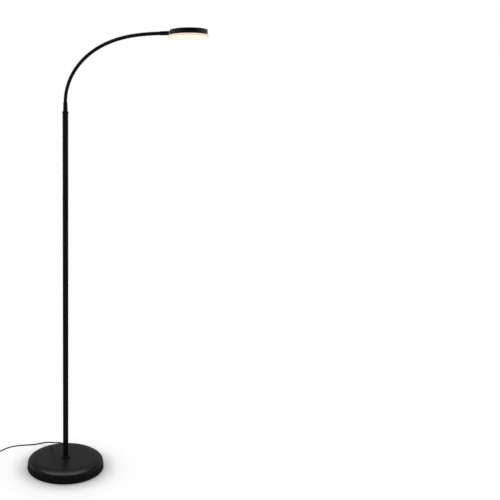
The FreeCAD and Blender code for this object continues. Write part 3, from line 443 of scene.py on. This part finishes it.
def neck_spans(before, after):
    """(joint, start, end) of each piece; joint n is in the middle of the n-th link's length."""
    spans = [(0, -before, LINK / 2)]
    for joint in range(2, LINKS + 1, 2):
        end = NECK_LENGTH + after if joint == LINKS else (joint + 0.5) * LINK
        spans.append((joint, (joint - 1.5) * LINK, end))
    return spans


def join_neck(piece, joint):
    """The root stays with the stand; every other piece only has its transform baked into its mesh."""
    if joint == 0:
        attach(piece, "stand")
        return
    spots = neck_frame(np.array([(joint - 1) * LINK, joint * LINK]))[0]
    "neck_%02d" % (joint - 1)
    "neck_%02d" % joint
    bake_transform(piece)


def hose(name, start, end, ball_before, ball_after):
    """Rings along the hose; a ridge runs round it as a screw of one pitch a turn.  Half a ball
    stands out of each end that meets another piece."""
    rings = int(round((end - start) / PITCH * PER_TURN)) + 1
    along = np.linspace(start, end, rings)
    angle = np.linspace(0, 2 * np.pi, AROUND, endpoint=False)
    turn = along[:, None] / PITCH - angle[None, :] / (2 * np.pi)
    ridge = np.clip(1.35 * np.abs(np.cos(np.pi * turn)) ** 0.8 - 0.25, 0, 1)
    radius = GROOVE + (CREST - GROOVE) * ridge
    slope = np.radians(np.linspace(0, 80, 7))
    reach = BALL * np.sin(slope)
    girth = np.repeat(BALL * np.cos(slope)[:, None], AROUND, 1)
    if ball_before:
        along = np.concatenate([(start - reach)[::-1], along])
        radius = np.concatenate([girth[::-1], radius])
    if ball_after:
        along = np.concatenate([along, end + reach])
        radius = np.concatenate([radius, girth])
    centre, spokes = circles(along, AROUND)
    return grid_piece(name, centre + radius[..., None] * MM * spokes, False, True, hose_black)


for joint, start, end in neck_spans(IN_FERRULE, IN_FERRULE):
    piece = hose("neck_hose_%02d" % joint, start, end, joint > 0, joint < LINKS)
    if joint == 0:
        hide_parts("neck_link_00")
    else:
        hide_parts("neck_link_%02d" % (joint - 1), "neck_link_%02d" % joint)
    join_neck(piece, joint)

# %% [markdown]
# ## The lead inside the neck
# The lead must bend with the hose, so it is cut at the same places and joined the same way.

# %% Lead in the neck
LEAD, LEAD_RINGS, LEAD_AROUND = 1.7, 28, 16
LEAD_BEFORE, LEAD_AFTER = 17.0, 28.0
for joint, start, end in neck_spans(LEAD_BEFORE, LEAD_AFTER):
    centre, spokes = circles(np.linspace(start, end, LEAD_RINGS), LEAD_AROUND)
    lead = grid_piece("lead_in_neck_%02d" % joint, centre + LEAD * MM * spokes, False, True, sheath)
    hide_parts("neck_lead")
    join_neck(lead, joint)

# %% [markdown]
# ## The head's own frame
# The arm's axis keeps the tilt of the neck's end.  The head sits on it nearly level, a little
# turned about the arm, with the housing's lower edge a few millimetres under the axis.

# %% Places of the arm and the head
HEAD_TURN, HEAD_TILT = 3.0, 0.5
AXIS_HEIGHT = 6.2
SLEEVE, SLEEVE_RADIUS, ARM, ARM_BORE, ARM_END = 23.4, 5.5, 3.0, 1.9, 32.1
HOUSING, HOUSING_HEIGHT = 50.4, 13.8
WASHER, PLAY = 0.8, 0.25
PROUD, FACE_GAP = 0.5, WASHER + PLAY
arm_tilt = Matrix.Rotation(-math.radians(TILT), 4, "Y")
arm_place = Matrix.Translation(neck_end[0]) @ arm_tilt @ Matrix.Rotation(math.pi / 2, 4, "Y")
head_turned = (Matrix.Rotation(-math.radians(HEAD_TILT), 4, "Y")
               @ Matrix.Rotation(math.radians(HEAD_TURN), 4, "X"))
arm_axis = arm_tilt @ Vector((1, 0, 0))
pad_centre = Vector(neck_end[0]) + arm_axis * (SLEEVE + FACE_GAP) * MM
head_centre = pad_centre - head_turned @ Vector((-(HOUSING + PROUD) * MM, 0, AXIS_HEIGHT * MM))
head_place = Matrix.Translation(head_centre) @ head_turned
print("head centre", tuple(round(value, 4) for value in head_centre))

sleeve = turned("upper_ferrule",
                [(ARM_BORE, HOSE_TAIL), (HOSE_FIT, HOSE_TAIL), (HOSE_FIT, 0), (SLEEVE_RADIUS, 0, 0.5),
                 (SLEEVE_RADIUS, SLEEVE, 0.5), (ARM, SLEEVE), (ARM, ARM_END, 0.3), (ARM_BORE, ARM_END)],
                black_coat, arm_place, around=64)
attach(sleeve, "neck_12")
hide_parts("head_sleeve")

# %% [markdown]
# ## The housing
# A shallow turned cup.  The flat pad that the arm screws against is a short disc on its side.

# %% Housing
WALL, ROOF, EDGE = 1.2, 1.4, 1.0
INSIDE, CEILING = HOUSING - WALL, HOUSING_HEIGHT - ROOF
cup = turned("head_shell",
             [(0, CEILING), (INSIDE, CEILING, 0.8), (INSIDE, 0), (HOUSING, 0, 0.3),
              (HOUSING, HOUSING_HEIGHT, EDGE), (0, HOUSING_HEIGHT)],
             black_coat, head_place, around=160)
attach(cup, "head")
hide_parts("head_housing")
pad_place = Matrix.Translation(pad_centre) @ arm_tilt @ Matrix.Rotation(math.pi / 2, 4, "Y")
PAD, PAD_HOLE, PAD_DEPTH = 5.4, 3.08, 3.0
pad = turned("arm_pad", [(PAD, 0, 0.25), (PAD, PAD_DEPTH), (PAD_HOLE, PAD_DEPTH), (PAD_HOLE, 0)],
             black_coat, pad_place, around=64)
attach(pad, "head")

# %% [markdown]
# ## The glowing plate
# The plate is frosted acrylic lit from behind.  Its light is warm white in the middle and
# turns peach at the rim, and the LED packages show through as small yellow spots.  The plate's
# own map has its centre at (0.5, 0.5), so distance from the centre drives every band.


# %% Frosted plate
def glow_finish(name):
    """Light that gives way from band to band, by radius as a share of the plate's own."""
    paint = Paint(name)
    where = paint.place("UV")
    apart = paint.node("ShaderNodeVectorMath", {"operation": "SUBTRACT"}, {0: where, 1: (0.5, 0.5, 0)})
    split = paint.tree.nodes.new("ShaderNodeSeparateXYZ")
    paint.tree.links.new(apart.socket, split.inputs[0])
    x, y = Wire(paint, split.outputs[0]), Wire(paint, split.outputs[1])
    radius = (x * x + y * y).math("SQRT") * 2.0
    side = y * -1.0
    rim = radius.step(0.55, 0.95)
    base = paint.mix(rim, (1.0, 0.96, 0.82), (1.0, 0.83, 0.68))
    cloud = paint.noise(5.0, 1.0, where)
    base = paint.mix(cloud.step(0.35, 0.65) * 0.3, base, (1.0, 0.90, 0.72))
    cell = paint.node("ShaderNodeTexVoronoi", {}, {"Vector": where, "Scale": 26.0, "Randomness": 0.6})
    spot = 1 - cell.step(0.10, 0.45)
    middle = 1 - radius.step(0.34, 0.40)
    tint = paint.mix(paint.noise(14.0, 1.0, where).step(0.4, 0.6), (1.0, 0.70, 0.22), (0.78, 0.82, 0.40))
    colour = paint.mix(spot * middle * (0.35 + side.step(-0.1, 0.1) * 0.4), base, tint)
    ring = radius.step(0.375, 0.395) * (1 - radius.step(0.405, 0.43))
    colour = paint.mix(ring * 0.6, colour, (0.90, 0.80, 0.60))
    edge = radius.step(0.93, 0.97)
    lit = paint.mix(edge, colour, (0.80, 0.68, 0.58))
    paint.set(Base_Color=(0.06, 0.06, 0.055, 1.0), Roughness=0.4, Emission_Color=lit, Emission_Strength=1.0)
    return paint.material


glow = glow_finish("frosted_plate")
OVERHANG, THICK, LENS, LENS_STEP, LENS_SLOPE = 4.1, 4.4, 22.0, 0.6, 1.2
PLATE = HOUSING + OVERHANG
SPIGOT, SPIGOT_WALL, SPIGOT_TOP = INSIDE - 0.1, 1.0, 0.7
plate = turned("diffuser_plate",
               [(0, 0), (0, LENS_STEP - THICK), (LENS - LENS_SLOPE, LENS_STEP - THICK, 0.4),
                (LENS, -THICK, 0.4), (PLATE, -THICK, 1.6), (PLATE, 0, 0.8), (SPIGOT, 0),
                (SPIGOT, SPIGOT_TOP), (SPIGOT - SPIGOT_WALL, SPIGOT_TOP), (SPIGOT - SPIGOT_WALL, 0)],
               glow, head_place, around=160)
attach(plate, "head")
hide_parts("diffuser")

# %% [markdown]
# ## The grommet
# A tapered rubber nose holds the cord where it leaves the pole at the back left.

# %% Grommet
GLAND_HEIGHT, GLAND_TURN = 67.0, math.radians(135)
GLAND_INNER, GLAND_FACE, CORD_FIT = 6.2, 16.6, 2.05
gland_place = (Matrix.Translation((0, 0, GLAND_HEIGHT * MM)) @ Matrix.Rotation(GLAND_TURN, 4, "Z")
               @ Matrix.Rotation(math.pi / 2, 4, "Y"))
grommet = turned("grommet",
                 [(CORD_FIT, GLAND_INNER), (3.4, GLAND_INNER, 0.3), (3.4, 8.7), (4.8, 8.7, 0.3),
                  (4.8, 10.6, 0.8), (2.9, GLAND_FACE, 0.5), (CORD_FIT, GLAND_FACE)],
                sheath, gland_place, around=48)
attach(grommet, "stand")
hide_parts("cord_gland")

# %% [markdown]
# ## The cord
# The cord is 1.75 m of round 4 mm mains lead.  It droops over the base's far rim, lies on the
# floor in loose curves, runs through the in-line switch, and the rest is wound into a neat
# coil beside the lamp with the plug next to it.  It is one smooth line, with listed points
# where it lies loose and a worked-out spiral where it is coiled.

# %% Cord route
CORD = 2.0
FLOOR = CORD
gland_out = np.array((math.cos(GLAND_TURN), math.sin(GLAND_TURN), 0.0))
gland_face = gland_out * GLAND_FACE + np.array((0.0, 0.0, GLAND_HEIGHT))
LAMP_SIDE = [(-21.5, 21.5, 65.6), (-31, 33, 59.2), (-41, 50, 51.6), (-52, 72, 42.2), (-62, 96, 31.2),
             (-71, 120, 19.8), (-79.5, 139, 10.3), (-88.5, 149.5, 4), (-99, 149, FLOOR),
             (-111.5, 142, FLOOR), (-124, 138.5, FLOOR), (-143, 135.5, FLOOR), (-164, 130.5, FLOOR),
             (-185, 122, FLOOR), (-201, 108, FLOOR), (-213, 90, FLOOR), (-221, 77, 3.6)]
switch_centre = np.array((-243.0, 26.0, 6.0))
switch_heading = np.array((-0.3, -0.954, 0.0)) / np.hypot(0.3, 0.954)
HALF_SWITCH = 31
switch_in = switch_centre - switch_heading * HALF_SWITCH
switch_out = switch_centre + switch_heading * HALF_SWITCH
coil_centre = np.array((-246.0, -63.0, 0.0))
LAYERS, LAYER_TURNS, CLIMB, WIND, COIL_RADIUS = 4, 2.0, 0.5, 4.5, 24.0
PER_LOOP = 16                     # points in each turn of the coil


def coil_points():
    """Radius goes in and out again layer by layer; height climbs in the half turn where it turns back.
    The control points stand out by 1 / cos(half a step), because the line cuts inside them."""
    turns = np.arange(0, LAYERS * LAYER_TURNS + 1e-6, 1 / PER_LOOP)
    layer = turns / LAYER_TURNS
    whole = np.floor(layer)
    share = layer - whole
    inward = np.where(whole % 2 == 0, share, 1 - share)
    radius = (COIL_RADIUS + WIND * LAYER_TURNS * (0.5 - inward)) / math.cos(math.pi / PER_LOOP)
    height = FLOOR + 0 * turns
    for step in range(1, LAYERS):
        climb = np.clip((turns - step * LAYER_TURNS) / CLIMB + 0.5, 0, 1)
        height = height + WIND * climb ** 2 * (3 - 2 * climb)
    angle = math.pi + 2 * math.pi * turns
    return coil_centre + np.stack([radius * np.cos(angle), radius * np.sin(angle), height], -1)


coil = coil_points()
COIL_SIDE, COIL_TOP, PLUG_HEIGHT = -274.5, coil[-1, 2], 6.85
from_gland = [gland_face, gland_face + gland_out * 7]
through_switch = [switch_in - switch_heading * 12, switch_in, switch_centre, switch_out,
                  switch_out + switch_heading * 11]
to_coil = [(-261.5, -25, 3.2), (-268, -38.5, FLOOR), (COIL_SIDE, -50, FLOOR), (COIL_SIDE, -59, FLOOR)]
to_plug = [(COIL_SIDE, -67, COIL_TOP), (COIL_SIDE, -74, COIL_TOP), (-272.5, -84, 12.2), (-272, -94.5, 8.6),
           (-270, -105, PLUG_HEIGHT), (-270, -116, PLUG_HEIGHT)]
route = np.concatenate([from_gland, LAMP_SIDE, through_switch, to_coil, coil[1:-1], to_plug])
curve = bpy.data.curves.new("mains_cord", "CURVE")
curve.dimensions = "3D"
curve.bevel_depth = CORD * MM
curve.bevel_resolution = 5
curve.resolution_u = 6
curve.use_fill_caps = True
spline = curve.splines.new("NURBS")
spline.points.add(len(route) - 1)
spline.points.foreach_set("co", np.concatenate([route * MM, np.ones((len(route), 1))], 1).ravel())
spline.order_u = 3
spline.use_endpoint_u = True
cord = bpy.data.objects.new("mains_cord", curve)
bpy.context.scene.collection.objects.link(cord)
dress(cord, sheath)
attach(cord, "stand")
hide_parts("cord_lamp_side", "cord_plug_side", "cord_coil", "cord_end")
print("cord points:", len(route))

# %% [markdown]
# ## Floor, world and lights
# The floor is white and keeps the soft shadow near the base, and close to the base its colour is
# also darkened as a painted shadow.  Away from the lamp it turns into plain white for the camera,
# as the studio sweep does.  The white room shows in the black paint from behind and from the
# sides, and is dim on the viewer's side, so that the pole has a dark middle and lighter edges.


# %% Studio
def light_path(paint, name):
    """1 for rays of the named kind, 0 for the rest."""
    node = paint.tree.nodes.new("ShaderNodeLightPath")
    return Wire(paint, node.outputs[name])


def blend_shader(paint, share, first, second):
    mixed = paint.tree.nodes.new("ShaderNodeMixShader")
    for index, socket in enumerate((share.socket, first, second)):
        paint.tree.links.new(socket, mixed.inputs[index])
    return mixed.outputs[0]


def glowing(paint, strength):
    return paint.node("ShaderNodeEmission", {}, {"Color": (1, 1, 1, 1), "Strength": strength}).socket


def studio_floor():
    """White for the camera far from the lamp, lit and shadowed close to it with a painted shadow darkening
    its colour near the base, dim in reflections.
    """
    mesh = bpy.data.meshes.new("floor")
    reach = 12.0
    mesh.from_pydata([(-reach, -reach, 0), (reach, -reach, 0), (reach, reach, 0), (-reach, reach, 0)],
                     [], [(0, 1, 2, 3)])
    floor = bpy.data.objects.new("floor", mesh)
    bpy.context.scene.collection.objects.link(floor)
    paint = Paint("floor_white")
    distance = paint.node("ShaderNodeVectorMath", {"operation": "LENGTH"}, {0: paint.place()}, out=1)
    far = distance.step(0.13, 0.24)
    # painted shadow: the floor's colour goes from 0.94 down to 0.66 within about 0.11 m of the base's
    # centre, fading out by 0.175 m
    painted_shadow_mask = 1 - distance.step(0.108, 0.175)
    floor_colour_with_painted_shadow = paint.mix(painted_shadow_mask, (0.94, 0.94, 0.94), (0.66, 0.66, 0.645))
    paint.set(Base_Color=floor_colour_with_painted_shadow, Roughness=0.9, Specular_IOR_Level=0.0)
    seen = light_path(paint, "Is Camera Ray") + light_path(paint, "Is Transmission Ray")
    surface = blend_shader(paint, far * seen, paint.shader.outputs[0], glowing(paint, 1.0))
    surface = blend_shader(paint, light_path(paint, "Is Glossy Ray"), surface, glowing(paint, 0.08))
    output = [node for node in paint.tree.nodes if node.type == "OUTPUT_MATERIAL"][0]
    paint.tree.links.new(surface, output.inputs[0])
    dress(floor, paint.material)


studio_floor()


class WorldPaint(Paint):
    """The same node method, for the world."""

    def __init__(self, name):
        self.material = bpy.data.worlds.new(name)
        self.material.use_nodes = True
        self.tree = self.material.node_tree
        self.shader = self.tree.nodes["Background"]


def studio_room():
    """White for the camera and through clear things, a little less for plain light.  Reflections
    see a grey band low at the back, paler at both sides, and a dim room elsewhere."""
    room = WorldPaint("studio")
    bpy.context.scene.world = room.material
    split = room.tree.nodes.new("ShaderNodeSeparateXYZ")
    room.tree.links.new(room.node("ShaderNodeTexCoord").socket, split.inputs[0])
    x, y, z = (Wire(room, socket) for socket in split.outputs)
    low = 1 - z.step(0.48, 0.62)
    seen = 0.025 + y.step(-0.2, 0.5) * low * 0.25 + x.math("ABSOLUTE").step(0.45, 0.9) * low * 0.3
    plain = 1 - light_path(room, "Is Glossy Ray")
    soft = light_path(room, "Is Diffuse Ray")
    room.set(Color=(1, 1, 1, 1), Strength=plain * (1 - soft * 0.2) + (1 - plain) * seen)


studio_room()


def softbox(name, at, towards, width, height, power):
    light = bpy.data.lights.new(name, "AREA")
    light.shape = "RECTANGLE"
    light.size, light.size_y = width, height
    light.energy = power
    obj = bpy.data.objects.new(name, light)
    bpy.context.scene.collection.objects.link(obj)
    obj.location = at
    obj.rotation_euler = (Vector(towards) - Vector(at)).to_track_quat("-Z", "Y").to_euler()


softbox("top_softbox", (-0.15, 0.72, 2.2), (0, 0, 0.2), 1.8, 0.9, 14)
bpy.context.scene.view_settings.view_transform = "Standard"
